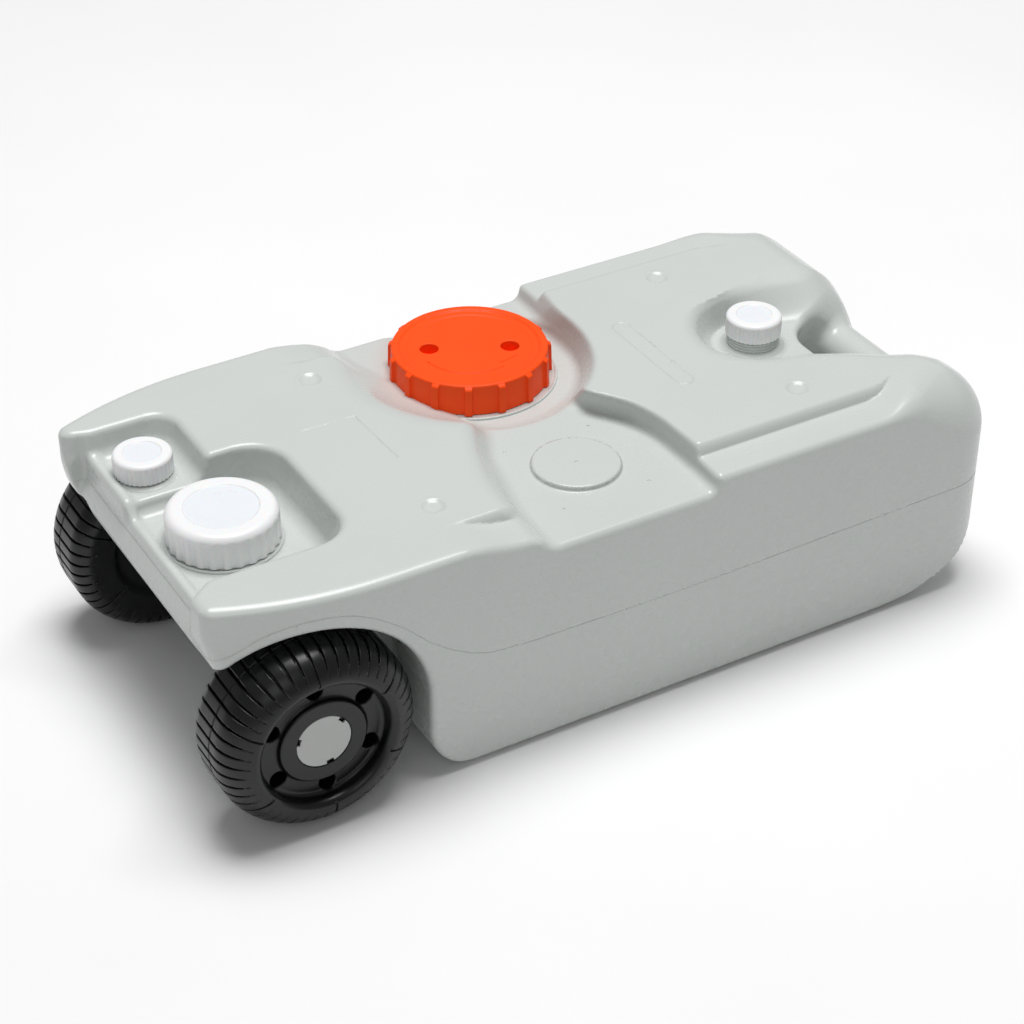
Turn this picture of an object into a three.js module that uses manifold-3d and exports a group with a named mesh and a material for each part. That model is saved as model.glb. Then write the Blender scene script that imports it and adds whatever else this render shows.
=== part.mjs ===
// Portable waste tote: a flat wheeled holding tank with four screw caps.
// Millimetres. +Z up, the origin on the ground below the middle of the object,
// +X towards the moulded grab handle, -X towards the wheels, +Y towards the filler cap.
import * as THREE from "three";
import { mergeVertices } from "three/addons/utils/BufferGeometryUtils.js";
import Module from "manifold-3d";

const wasm = await Module();
wasm.setup();

// ---------------------------------------------------------------- driving dimensions
const GAP = 0.3; // clearance between pieces that touch
const WALL = 4; // moulded wall of the tank
const TOP = 184; // height of the top deck
const HALF_WIDTH = 152;
const FRONT_X = -311.5; // flat face at the wheel end
const END_X = 317.5; // outermost point of the handle end

const AXLE_X = -245.5;
const AXLE_RADIUS = 6;
const WHEEL_RADIUS = 72; // also the height of the axle, so the wheels stand on the ground
const WHEEL_INNER_Y = 99.5;
const WHEEL_OUTER_Y = 162.5;

const WAIST_FLOOR = 162.5;
const LEDGE = 174.5; // outer ledge beside the top deck
const DRAIN_FLOOR = 150.5;
const VENT_FLOOR = 161.5;
const BASIN_FLOOR = 158;
const RECESS_FLOOR = 155;
const KEEL_HALF_WIDTH = 91;
const KEEL_BOTTOM = 60; // underside of the keel at the axle
const AXLE_BOSS_Y = 96.5; // the slot's walls reach out to the thrust washers

// A screw cap and its neck: place, outer radius, lower and upper height of the cap, the deck
// that the neck stands on, and the clear bore and the wall of the neck.
const WHITE = 0xf3f5f5;
const VENT = { radius: 21.5, bore: 11, neckWall: 4, ribs: 12, colour: WHITE };
const CAPS = {
  main_cap: {
    x: -3, y: 81, bottom: 156, top: 180, deck: RECESS_FLOOR,
    radius: 61.5, bore: 42, neckWall: 5, ribs: 15, colour: 0xf0471f,
  },
  drain_cap: {
    x: -248, y: -15, bottom: 152, top: 177.5, deck: DRAIN_FLOOR,
    radius: 39.5, bore: 24, neckWall: 4.5, ribs: 18, colour: WHITE,
  },
  vent_cap_front: { x: -269, y: 70.5, bottom: 164, top: 179.5, deck: VENT_FLOOR, ...VENT },
  vent_cap_rear: { x: 202.5, y: 8.5, bottom: 168, top: 183.5, deck: BASIN_FLOOR, ...VENT },
};
const CAP_CROWN = 3.5; // thickness of a cap's top
const RIB_DEPTH = 2.5;
const GASKET_THICKNESS = 2;
const THREAD_CLEARANCE = 1.2; // between the neck's outside and the skirt's inside

const materials = {
  tank: new THREE.MeshStandardMaterial({ color: 0xc9cfc9, roughness: 0.5, metalness: 0 }),
  wheel: new THREE.MeshStandardMaterial({ color: 0x191a1c, roughness: 0.45, metalness: 0 }),
  hub: new THREE.MeshStandardMaterial({ color: 0xa5a8a4, roughness: 0.55, metalness: 0 }),
  steel: new THREE.MeshStandardMaterial({ color: 0xb8bcc0, roughness: 0.35, metalness: 1 }),
  bush: new THREE.MeshStandardMaterial({ color: 0xe4e2da, roughness: 0.5, metalness: 0 }),
  saddle: new THREE.MeshStandardMaterial({ color: 0x232527, roughness: 0.6, metalness: 0 }),
  gasket: new THREE.MeshStandardMaterial({ color: 0x2a2b2c, roughness: 0.8, metalness: 0 }),
};

// ---------------------------------------------------------------- solids from geometry
function solid(geometry) {
  const bare = geometry.index ? geometry.toNonIndexed() : geometry.clone();
  bare.deleteAttribute("normal");
  bare.deleteAttribute("uv");
  const merged = mergeVertices(bare, 1e-4);
  return new wasm.Manifold(
    new wasm.Mesh({
      numProp: 3,
      vertProperties: merged.attributes.position.array,
      triVerts: new Uint32Array(merged.index.array),
    }),
  );
}

function geometryOf(manifold) {
  const mesh = manifold.getMesh();
  const geometry = new THREE.BufferGeometry();
  geometry.setAttribute("position", new THREE.BufferAttribute(mesh.vertProperties, 3));
  geometry.setIndex(new THREE.BufferAttribute(mesh.triVerts, 1));
  const flat = geometry.toNonIndexed();
  flat.computeVertexNormals();
  return flat;
}

function extrusion(outline, depth) {
  const shape = new THREE.Shape(outline);
  return new THREE.ExtrudeGeometry(shape, { depth, bevelEnabled: false, curveSegments: 1 });
}

// A closed outline pushed up from z = low to z = high.
function prism(outline, low, high) {
  return solid(extrusion(outline, high - low).translate(0, 0, low));
}

// An outline drawn in X and Z, pushed across from y = low to y = high.
function crossPrism(outline, low, high) {
  return solid(extrusion(outline, high - low).rotateX(Math.PI / 2).translate(0, high, 0));
}

// Points of an arc of an ellipse, from one angle to another in degrees.
function arc(cx, cy, rx, ry, from, to, steps) {
  const points = [];
  for (let i = 0; i <= steps; i += 1) {
    const angle = THREE.MathUtils.degToRad(from + ((to - from) * i) / steps);
    points.push(new THREE.Vector2(cx + rx * Math.cos(angle), cy + ry * Math.sin(angle)));
  }
  return points;
}

// The same anticlockwise outline drawn smaller by d all round, or larger where d is negative.
function inset(outline, d) {
  if (d === 0) return outline;
  const count = outline.length;
  return outline.map((point, i) => {
    const before = point.clone().sub(outline[(i + count - 1) % count]).normalize();
    const after = outline[(i + 1) % count].clone().sub(point).normalize();
    const normal = new THREE.Vector2(-before.y - after.y, before.x + after.x).normalize();
    const stretch = Math.max(normal.dot(new THREE.Vector2(-after.y, after.x)), 0.5);
    return point.clone().addScaledVector(normal, d / stretch);
  });
}

// A stack of shrinking layers that rounds the two rims of a prism.
function roundedPrism(outline, low, high, lowRadius, highRadius) {
  const layers = [];
  const steps = 4;
  for (let i = 0; i <= steps; i += 1) {
    const angle = (Math.PI / 2) * (i / steps);
    layers.push([lowRadius * (1 - Math.sin(angle)), low + lowRadius * (1 - Math.cos(angle))]);
  }
  for (let i = 0; i <= steps; i += 1) {
    const angle = (Math.PI / 2) * (i / steps);
    layers.push([highRadius * (1 - Math.cos(angle)), high - highRadius * (1 - Math.sin(angle))]);
  }
  return loft(layers.map(([shrink, z]) => inset(outline, shrink).map((p) => [p.x, p.y, z])));
}

// A closed solid through rings of equal length, with flat ends.
function loft(rings) {
  const count = rings[0].length;
  const positions = rings.flat(2);
  const index = [];
  for (let ring = 0; ring < rings.length - 1; ring += 1) {
    for (let i = 0; i < count; i += 1) {
      const a = ring * count + i;
      const b = ring * count + ((i + 1) % count);
      index.push(a, b, b + count, a, b + count, a + count);
    }
  }
  const flat = rings[0].map(([x, y]) => new THREE.Vector2(x, y));
  const last = (rings.length - 1) * count;
  for (const [a, b, c] of THREE.ShapeUtils.triangulateShape(flat, [])) {
    index.push(a, c, b);
    index.push(last + a, last + b, last + c);
  }
  const geometry = new THREE.BufferGeometry();
  geometry.setAttribute("position", new THREE.Float32BufferAttribute(positions, 3));
  geometry.setIndex(index);
  return solid(geometry);
}

// A turned solid about the vertical through (x, y). The profile is [radius, z] points,
// anticlockwise with the axis on the left, and it starts and ends on the axis or closes on itself.
function turned(profile, x, y, segments) {
  const points = profile.map(([radius, z]) => new THREE.Vector2(radius, z));
  if (profile[0][0] > 0) points.push(points[0].clone());
  return solid(new THREE.LatheGeometry(points, segments).rotateX(Math.PI / 2).translate(x, y, 0));
}

// The same, about the axle: the second number of each point is then Y.
function turnedAcross(profile, segments) {
  const points = profile.map(([radius, y]) => new THREE.Vector2(radius, y));
  if (profile[0][0] > 0) points.push(points[0].clone());
  return solid(new THREE.LatheGeometry(points, segments).translate(AXLE_X, 0, WHEEL_RADIUS));
}

function tube(x, y, inner, outer, low, high, segments) {
  return turned([[inner, low], [outer, low], [outer, high], [inner, high]], x, y, segments);
}

function rod(x, y, radius, low, high, segments) {
  return turned([[0, low], [radius, low], [radius, high], [0, high]], x, y, segments);
}

function join(solids) {
  return solids.reduce((all, next) => all.add(next));
}

// The biggest of the separate bodies that a cut leaves.
function largest(body) {
  return body.decompose().sort((a, b) => b.volume() - a.volume())[0];
}

// ---------------------------------------------------------------- tank
// Plan of the body: long tapered corners at the wheel end, round ones at the handle end.
const NOSE_HALF_WIDTH = 113.5;
const NOSE_TAPER = 127;
const END_CORNER = 38;

function planOutline() {
  const side = HALF_WIDTH - NOSE_HALF_WIDTH;
  const cornerX = END_X - END_CORNER;
  const cornerY = HALF_WIDTH - END_CORNER;
  return [
    ...arc(cornerX, -cornerY, END_CORNER, END_CORNER, -90, 0, 8),
    ...arc(cornerX, cornerY, END_CORNER, END_CORNER, 0, 90, 8),
    ...arc(FRONT_X + NOSE_TAPER, NOSE_HALF_WIDTH, NOSE_TAPER, side, 90, 180, 7),
    ...arc(FRONT_X + NOSE_TAPER, -NOSE_HALF_WIDTH, NOSE_TAPER, side, 180, 270, 7),
  ];
}

// Side view of the body: rolled top and bottom at the handle end, and at the wheel end
// a thin nose over a keel that rises to clear the axle.
const NOSE_BOTTOM = 131;

function sideOutline() {
  const rollTop = { x: 62, z: 50 };
  const rollBottom = { x: 120, z: 80 };
  return [
    new THREE.Vector2(-176, 0),
    ...arc(END_X - rollBottom.x, rollBottom.z, rollBottom.x, rollBottom.z, -90, 0, 7),
    ...arc(END_X - rollTop.x, TOP - rollTop.z, rollTop.x, rollTop.z, 0, 90, 7),
    ...arc(FRONT_X + 9, TOP - 9, 9, 9, 90, 180, 3),
    ...arc(FRONT_X + 12, NOSE_BOTTOM + 10, 12, 12, 180, 240, 3),
    new THREE.Vector2(-282, 92),
    new THREE.Vector2(-272, KEEL_BOTTOM),
    new THREE.Vector2(-214, KEEL_BOTTOM),
    new THREE.Vector2(-190, 10),
  ];
}

// Wheel well seen from the side: an arch round the wheel, open to the front and below.
function wellOutline() {
  const clear = 82;
  const cornerRadius = 42;
  const frontAngle = 146;
  const backX = AXLE_X + clear;
  const arch = arc(AXLE_X, WHEEL_RADIUS + 1, clear, clear, 0, frontAngle, 13);
  return [
    new THREE.Vector2(FRONT_X - 40, -20),
    new THREE.Vector2(backX + cornerRadius, -20),
    ...arc(backX + cornerRadius, cornerRadius, cornerRadius, cornerRadius, 270, 180, 5),
    ...arch,
    new THREE.Vector2(FRONT_X - 40, arch[arch.length - 1].y),
  ];
}

// Groove across the deck between the two halves of the tank. It is wider on the filler's side.
function waistOutline(widening) {
  return [
    new THREE.Vector2(-67 - widening, WAIST_FLOOR),
    new THREE.Vector2(62 + widening, WAIST_FLOOR),
    new THREE.Vector2(68 + widening, TOP + 10),
    new THREE.Vector2(-90 - widening, TOP + 10),
  ];
}

const POCKET_STEP_Y = 38; // the two pockets at the wheel end meet in a step here
const POCKET_NEAR_Y = -93; // the drain pocket's wall beside the right-hand horn
const POCKET_FOOT_Y = -84; // the same wall lower down, where it clears the wheel well
const POCKET_FOOT_TOP = 162;

function drainPocketOutline(nearY) {
  const right = -190;
  const corner = 24;
  return [
    new THREE.Vector2(FRONT_X - 30, nearY),
    ...arc(right - corner, nearY + corner, corner, corner, -90, 0, 4),
    ...arc(right - corner, POCKET_STEP_Y - corner, corner, corner, 0, 90, 4),
    new THREE.Vector2(FRONT_X - 30, POCKET_STEP_Y),
  ];
}

function ventPocketOutline() {
  const right = -234;
  return [
    new THREE.Vector2(FRONT_X - 30, POCKET_STEP_Y - 4),
    new THREE.Vector2(right, POCKET_STEP_Y - 4),
    ...arc(right - 16, 92, 16, 16, 0, 90, 4),
    new THREE.Vector2(FRONT_X - 30, 108),
  ];
}

// Between its two horns the nose is set back.
function noseRecessOutline() {
  return [
    new THREE.Vector2(FRONT_X - 30, POCKET_FOOT_Y),
    new THREE.Vector2(FRONT_X + 13, POCKET_FOOT_Y),
    new THREE.Vector2(FRONT_X + 13, 108),
    new THREE.Vector2(FRONT_X - 30, 108),
  ];
}

// Scooped basin round the rear vent, open to the notch at the handle end.
function basinOutline() {
  return [
    new THREE.Vector2(END_X + 40, -95),
    new THREE.Vector2(END_X + 40, 46),
    ...arc(214, -7, 78, 61, 90, 270, 12),
    new THREE.Vector2(252, -95),
  ];
}

const HAND_HOLE = { near: 236, far: 270, low: -74, high: 18 };
const GRIP_TOP = 143;
const GRIP_BOTTOM = 107;

function handHoleOutline() {
  const r = 15;
  const { near, far, low, high } = HAND_HOLE;
  return [
    ...arc(far - r, low + r, r, r, -90, 0, 3),
    ...arc(far - r, high - r, r, r, 0, 90, 3),
    ...arc(near + r, high - r, r, r, 90, 180, 3),
    ...arc(near + r, low + r, r, r, 180, 270, 3),
  ];
}

// The whole moulding as one solid, drawn smaller by d on every face.
function tankForm(d) {
  const block = roundedPrism(inset(planOutline(), d), d, TOP - d, 11, 9);
  const sides = crossPrism(inset(sideOutline(), d), -HALF_WIDTH - 10, HALF_WIDTH + 10);
  const well = inset(wellOutline(), -d);
  const cuts = [
    crossPrism(well, KEEL_HALF_WIDTH - d, HALF_WIDTH + 60),
    crossPrism(well, -HALF_WIDTH - 60, -KEEL_HALF_WIDTH + d),
    crossPrism(inset(waistOutline(0), -d), -HALF_WIDTH - 20, HALF_WIDTH + 20),
    crossPrism(inset(waistOutline(16), -d), 40 - d, HALF_WIDTH + 20),
    rod(CAPS.main_cap.x, CAPS.main_cap.y, 82 + d, RECESS_FLOOR - d, TOP + 20, 48),
    prism(inset(drainPocketOutline(POCKET_FOOT_Y), -d), DRAIN_FLOOR - d, TOP + 20),
    prism(inset(drainPocketOutline(POCKET_NEAR_Y), -d), POCKET_FOOT_TOP - d, TOP + 20),
    prism(inset(ventPocketOutline(), -d), VENT_FLOOR - d, TOP + 20),
    prism(inset(noseRecessOutline(), -d), 134 - d, TOP + 20),
    prism(inset(basinOutline(), -d), BASIN_FLOOR - d, TOP + 20),
    prism(inset(handHoleOutline(), -d), -20, TOP + 20),
    crossPrism(
      inset([
        new THREE.Vector2(HAND_HOLE.near, -20),
        new THREE.Vector2(END_X + 40, -20),
        new THREE.Vector2(END_X + 40, GRIP_BOTTOM),
        new THREE.Vector2(HAND_HOLE.near, GRIP_BOTTOM),
      ], -d),
      HAND_HOLE.low - d,
      HAND_HOLE.high + d,
    ),
    prism(
      inset([
        new THREE.Vector2(HAND_HOLE.near + 8, HAND_HOLE.low),
        new THREE.Vector2(END_X + 40, HAND_HOLE.low),
        new THREE.Vector2(END_X + 40, HAND_HOLE.high),
        new THREE.Vector2(HAND_HOLE.near + 8, HAND_HOLE.high),
      ], -d),
      GRIP_TOP - d,
      TOP + 20,
    ),
  ];
  for (const side of [-1, 1]) {
    for (const ledge of ledgeOutlines(side)) {
      cuts.push(prism(inset(ledge, -d), LEDGE - d, TOP + 20));
    }
  }
  return block.intersect(sides).subtract(join(cuts));
}

// Strips along the deck's long sides that lie one step lower, as on each half of the tank.
function ledgeOutlines(side) {
  const inner = 121;
  const outer = HALF_WIDTH + 20;
  const strips = [[-140, -60], [50, 226]];
  return strips.map(([from, to]) => {
    const corners = [
      new THREE.Vector2(from, side * inner),
      new THREE.Vector2(to, side * inner),
      new THREE.Vector2(to + 18, side * outer),
      new THREE.Vector2(from - 10, side * outer),
    ];
    return side > 0 ? corners : corners.reverse();
  });
}

const SADDLE_Y = 45;
const SADDLE = { halfLength: 24, halfWidth: 11, thickness: 4 };
const SCREW = { shank: 2.2, head: 4.2, headHeight: 2.6, depth: 13, reach: 16 };
const SCREW_PLACES = [-1, 1].flatMap((side) => (
  [-1, 1].map((end) => [AXLE_X + end * SCREW.reach, side * SADDLE_Y])
));

function neckOf(cap) {
  const outer = cap.bore + cap.neckWall;
  const rim = cap.top - CAP_CROWN - GASKET_THICKNESS - GAP;
  return tube(cap.x, cap.y, cap.bore, outer, cap.deck - WALL - 2, rim, 32);
}

function axleSlot() {
  const half = AXLE_RADIUS + GAP;
  return crossPrism(
    [
      new THREE.Vector2(AXLE_X - half, KEEL_BOTTOM - 20),
      new THREE.Vector2(AXLE_X + half, KEEL_BOTTOM - 20),
      ...arc(AXLE_X, WHEEL_RADIUS, half, half, 0, 180, 8),
    ],
    -AXLE_BOSS_Y - 2,
    AXLE_BOSS_Y + 2,
  );
}

// The wall that carries the axle: the slot's outline grown by the wall thickness.
function axleSlotWall() {
  const half = AXLE_RADIUS + GAP + WALL;
  return crossPrism(
    [
      new THREE.Vector2(AXLE_X - half, KEEL_BOTTOM + 1),
      new THREE.Vector2(AXLE_X + half, KEEL_BOTTOM + 1),
      ...arc(AXLE_X, WHEEL_RADIUS, half, half, 0, 180, 8),
    ],
    -AXLE_BOSS_Y,
    AXLE_BOSS_Y,
  );
}

function tankShell() {
  let shell = tankForm(0).subtract(tankForm(WALL));
  shell = shell.add(axleSlotWall());
  for (const [x, y] of SCREW_PLACES) {
    shell = shell.add(rod(x, y, SCREW.shank + 4.3, KEEL_BOTTOM + 1, KEEL_BOTTOM + SCREW.depth + 6, 16));
  }
  shell = shell.subtract(axleSlot());
  for (const [x, y] of SCREW_PLACES) {
    shell = shell.subtract(rod(x, y, SCREW.shank + 0.1, KEEL_BOTTOM - 2, KEEL_BOTTOM + SCREW.depth + 1, 12));
  }
  for (const cap of Object.values(CAPS)) {
    const bore = rod(cap.x, cap.y, cap.bore, cap.deck - WALL - 10, cap.top, 32);
    shell = shell.add(neckOf(cap)).subtract(bore);
  }
  return largest(shell);
}

// ---------------------------------------------------------------- caps and seals
function capSolid(cap) {
  const inner = cap.bore + cap.neckWall + THREAD_CLEARANCE;
  const outer = cap.radius - RIB_DEPTH;
  const crown = cap.top - CAP_CROWN;
  const dish = 1.2;
  const profile = [
    [0, crown],
    [inner, crown],
    [inner, cap.bottom],
    [outer, cap.bottom],
    [outer - 1.5, cap.top - 2.5],
    [outer - 3.5, cap.top],
    [outer - 9, cap.top],
    [outer - 10.5, cap.top - dish],
    [0, cap.top - dish],
  ];
  let body = turned(profile, cap.x, cap.y, 36);
  const ribWidth = ((2 * Math.PI * cap.radius) / cap.ribs) * 0.42;
  const half = ribWidth / 2;
  for (let i = 0; i < cap.ribs; i += 1) {
    const corners = [
      new THREE.Vector2(inner + 1.5, -half),
      new THREE.Vector2(cap.radius, -half * 0.7),
      new THREE.Vector2(cap.radius, half * 0.7),
      new THREE.Vector2(inner + 1.5, half),
    ];
    const angle = (2 * Math.PI * i) / cap.ribs;
    const centre = new THREE.Vector2(cap.x, cap.y);
    const placed = corners.map((c) => c.clone().rotateAround(new THREE.Vector2(), angle).add(centre));
    body = body.add(prism(placed, cap.bottom, cap.top - 5));
  }
  return body;
}

function gasketSolid(cap) {
  const low = cap.top - CAP_CROWN - GASKET_THICKNESS;
  const outer = cap.bore + cap.neckWall;
  return tube(cap.x, cap.y, cap.bore + 0.5, outer, low + 0.1, low + GASKET_THICKNESS - GAP, 32);
}

// The filler cap has two blind finger holes for a key.
function mainCapSolid(cap) {
  let body = capSolid(cap);
  const reach = 30;
  const direction = new THREE.Vector2(0.9, -0.436);
  for (const side of [-1, 1]) {
    const x = cap.x + side * reach * direction.x;
    const y = cap.y + side * reach * direction.y;
    body = body.subtract(rod(x, y, 7, cap.top - 2.6, cap.top + 5, 20));
  }
  return body;
}

// ---------------------------------------------------------------- wheels and axle
const WHEEL = {
  shoulder: 24, // rounding between the tread and the outer face
  backShoulder: 14,
  wall: 3.2,
  bore: 11,
  grooveFloor: 150.5, // ring-shaped groove round the boss, as a distance from the middle
  grooveInner: 34,
  grooveOuter: 44.5,
  boss: 32,
  bossFace: 155,
  discSeat: 152.7,
  discPocket: 20.2,
  cup: 18, // room for the rod's end behind the disc
  cupFloor: 144,
};

function asPairs(points) {
  return points.map((p) => [p.x, p.y]);
}

function wheelSolid(side) {
  const inner = WHEEL_INNER_Y;
  const outer = WHEEL_OUTER_Y;
  const w = WHEEL.wall;
  const frontArcRadius = WHEEL_RADIUS - WHEEL.shoulder;
  const backArcRadius = WHEEL_RADIUS - WHEEL.backShoulder;
  const outside = [
    [WHEEL.bore, inner + 2],
    [WHEEL.cup, inner + 2],
    [WHEEL.boss, inner + 7],
    [WHEEL.boss + 8, inner],
    ...asPairs(
      arc(backArcRadius, inner + WHEEL.backShoulder, WHEEL.backShoulder, WHEEL.backShoulder, -70, 0, 4),
    ),
    ...asPairs(arc(frontArcRadius, outer - WHEEL.shoulder, WHEEL.shoulder, WHEEL.shoulder, 0, 90, 7)),
    [WHEEL.grooveOuter + 1, outer - 2],
    [WHEEL.grooveOuter, WHEEL.grooveFloor],
    [WHEEL.grooveInner, WHEEL.grooveFloor],
    [WHEEL.boss, WHEEL.grooveFloor + 1.5],
    [WHEEL.boss, WHEEL.bossFace - 0.8],
    [WHEEL.boss - 0.8, WHEEL.bossFace],
    [WHEEL.discPocket, WHEEL.bossFace],
    [WHEEL.discPocket, WHEEL.discSeat],
    [WHEEL.cup, WHEEL.discSeat],
    [WHEEL.cup, WHEEL.cupFloor],
    [WHEEL.bore, WHEEL.cupFloor],
  ];
  const hubWall = WHEEL.cup + w;
  const backInside = WHEEL.backShoulder - w;
  const frontInside = WHEEL.shoulder - w;
  const hollow = [
    [hubWall, inner + 2 + w],
    [WHEEL.boss + 1, inner + 7 + w],
    [WHEEL.boss + 9, inner + w],
    ...asPairs(arc(backArcRadius, inner + WHEEL.backShoulder, backInside, backInside, -70, 0, 3)),
    ...asPairs(arc(frontArcRadius, outer - WHEEL.shoulder, frontInside, frontInside, 0, 90, 5)),
    [frontArcRadius, WHEEL.grooveFloor - w],
    [WHEEL.grooveInner + 2, WHEEL.grooveFloor - w],
    [WHEEL.boss - w, WHEEL.grooveFloor - 1],
    [WHEEL.boss - w, WHEEL.bossFace - w],
    [hubWall + 2.5, WHEEL.bossFace - w],
    [hubWall, WHEEL.discSeat - w],
  ];
  let body = turnedAcross(outside, 36).subtract(turnedAcross(hollow, 24));
  const holeCircle = (WHEEL.grooveInner + WHEEL.grooveOuter) / 2;
  for (let i = 0; i < 6; i += 1) {
    const angle = (Math.PI / 3) * i;
    const hole = new THREE.CylinderGeometry(5, 5, 12, 10).translate(
      AXLE_X + holeCircle * Math.cos(angle),
      WHEEL.grooveFloor,
      WHEEL_RADIUS + holeCircle * Math.sin(angle),
    );
    body = body.subtract(solid(hole));
  }
  return side > 0 ? body : mirrored(body);
}

function mirrored(body) {
  return body.mirror([0, 1, 0]);
}

// Washers on the axle: outer radius and the two faces, as distances from the middle.
const INNER_WASHER = { radius: 13, near: WHEEL_INNER_Y - 2.3, far: WHEEL_INNER_Y - 0.7 };
const OUTER_WASHER = { radius: 12, near: WHEEL.cupFloor + 2.6, far: WHEEL.cupFloor + 3.6 };

function washerSolid(side, { radius, near, far }) {
  const bore = AXLE_RADIUS + 0.15;
  const ring = turnedAcross([[bore, near], [radius, near], [radius, far], [bore, far]], 24);
  return side > 0 ? ring : mirrored(ring);
}

const BUSH = { length: 14, flange: 2, flangeRadius: 14 };
const ROD_END_Y = 151.2;

function bushSolid(side, end) {
  const bore = AXLE_RADIUS + 0.1;
  const barrel = WHEEL.bore - GAP;
  const face = end === "inner" ? WHEEL_INNER_Y + 2 - GAP : WHEEL.cupFloor + GAP;
  const inward = end === "inner" ? 1 : -1;
  const profile = [
    [bore, face - inward * BUSH.flange],
    [BUSH.flangeRadius, face - inward * BUSH.flange],
    [BUSH.flangeRadius, face],
    [barrel, face],
    [barrel, face + inward * BUSH.length],
    [bore, face + inward * BUSH.length],
  ];
  const body = turnedAcross(inward > 0 ? profile : profile.reverse(), 28);
  return side > 0 ? body : mirrored(body);
}

function hubCapSolid(side) {
  const radius = WHEEL.discPocket - GAP;
  const face = WHEEL.bossFace - 0.3;
  const profile = [
    [0, face - 1.6],
    [radius - 1, face - 1.6],
    [radius, face - 1.2],
    [radius, face - 0.4],
    [radius - 0.8, face],
    [0, face],
  ];
  let body = turnedAcross(profile, 36);
  for (let i = 0; i < 3; i += 1) {
    const notch = new THREE.BoxGeometry(6, 6, 6)
      .translate(radius - 2.2, 0, 0)
      .rotateY(((2 * Math.PI) / 3) * i + Math.PI / 2)
      .translate(AXLE_X, face, WHEEL_RADIUS);
    body = body.subtract(solid(notch));
  }
  return side > 0 ? body : mirrored(body);
}

function pushNutSolid(side) {
  const near = ROD_END_Y - 3.2;
  const profile = [
    [0, ROD_END_Y + GAP],
    [AXLE_RADIUS + GAP, ROD_END_Y + GAP],
    [AXLE_RADIUS + GAP, near],
    [AXLE_RADIUS + 5, near],
    [AXLE_RADIUS + 5, near + 0.9],
    [AXLE_RADIUS + 1.4, near + 0.9],
    [AXLE_RADIUS + 1.2, ROD_END_Y + 0.9],
    [0, ROD_END_Y + 0.9],
  ];
  const body = turnedAcross(profile, 24);
  return side > 0 ? body : mirrored(body);
}

function saddleSolid(side) {
  const y = side * SADDLE_Y;
  const top = KEEL_BOTTOM - GAP;
  const half = AXLE_RADIUS - 0.2;
  const outline = [
    new THREE.Vector2(AXLE_X - SADDLE.halfLength, top - SADDLE.thickness),
    new THREE.Vector2(AXLE_X + SADDLE.halfLength, top - SADDLE.thickness),
    new THREE.Vector2(AXLE_X + SADDLE.halfLength, top),
    new THREE.Vector2(AXLE_X + half, top),
    new THREE.Vector2(AXLE_X + half, WHEEL_RADIUS - 1),
    new THREE.Vector2(AXLE_X - half, WHEEL_RADIUS - 1),
    new THREE.Vector2(AXLE_X - half, top),
    new THREE.Vector2(AXLE_X - SADDLE.halfLength, top),
  ];
  const cradle = AXLE_RADIUS + GAP;
  const low = y - SADDLE.halfWidth;
  const high = y + SADDLE.halfWidth;
  const channel = turnedAcross([[0, low - 1], [cradle, low - 1], [cradle, high + 1], [0, high + 1]], 24);
  let body = largest(crossPrism(outline, low, high).subtract(channel));
  for (const [x, screwY] of SCREW_PLACES) {
    body = body.subtract(rod(x, screwY, SCREW.shank + 0.4, top - SADDLE.thickness - 2, top + 2, 12));
  }
  return body;
}

function screwSolid(x, y) {
  const seat = KEEL_BOTTOM - GAP - SADDLE.thickness - GAP;
  const shank = SCREW.shank - 0.2;
  const profile = [
    [0, seat - SCREW.headHeight],
    [SCREW.head - 1, seat - SCREW.headHeight],
    [SCREW.head, seat - 1],
    [SCREW.head, seat],
    [shank, seat],
    [shank, KEEL_BOTTOM + SCREW.depth - 2],
    [0, KEEL_BOTTOM + SCREW.depth],
  ];
  return turned(profile, x, y, 12);
}

// ---------------------------------------------------------------- assembly
const tote = new THREE.Group();

function addPiece(name, body, material) {
  const mesh = new THREE.Mesh(geometryOf(body), material);
  mesh.name = name;
  tote.add(mesh);
}

addPiece("tank_shell", tankShell(), materials.tank);

for (const [name, cap] of Object.entries(CAPS)) {
  const material = new THREE.MeshStandardMaterial({ color: cap.colour, roughness: 0.4, metalness: 0 });
  addPiece(name, name === "main_cap" ? mainCapSolid(cap) : capSolid(cap), material);
  addPiece(`${name}_gasket`, gasketSolid(cap), materials.gasket);
}

addPiece(
  "axle_rod",
  turnedAcross([[0, -ROD_END_Y], [AXLE_RADIUS, -ROD_END_Y], [AXLE_RADIUS, ROD_END_Y], [0, ROD_END_Y]], 24),
  materials.steel,
);
SCREW_PLACES.forEach(([x, y], i) => addPiece(`saddle_screw_${i + 1}`, screwSolid(x, y), materials.steel));

for (const [hand, side] of [["left", 1], ["right", -1]]) {
  addPiece(`wheel_${hand}`, wheelSolid(side), materials.wheel);
  addPiece(`bush_${hand}_inner`, bushSolid(side, "inner"), materials.bush);
  addPiece(`bush_${hand}_outer`, bushSolid(side, "outer"), materials.bush);
  addPiece(`hub_cap_${hand}`, hubCapSolid(side), materials.hub);
  addPiece(`inner_washer_${hand}`, washerSolid(side, INNER_WASHER), materials.steel);
  addPiece(`outer_washer_${hand}`, washerSolid(side, OUTER_WASHER), materials.steel);
  addPiece(`push_nut_${hand}`, pushNutSolid(side), materials.steel);
  addPiece(`axle_saddle_${hand}`, saddleSolid(side), materials.saddle);
}

export default tote;
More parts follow.
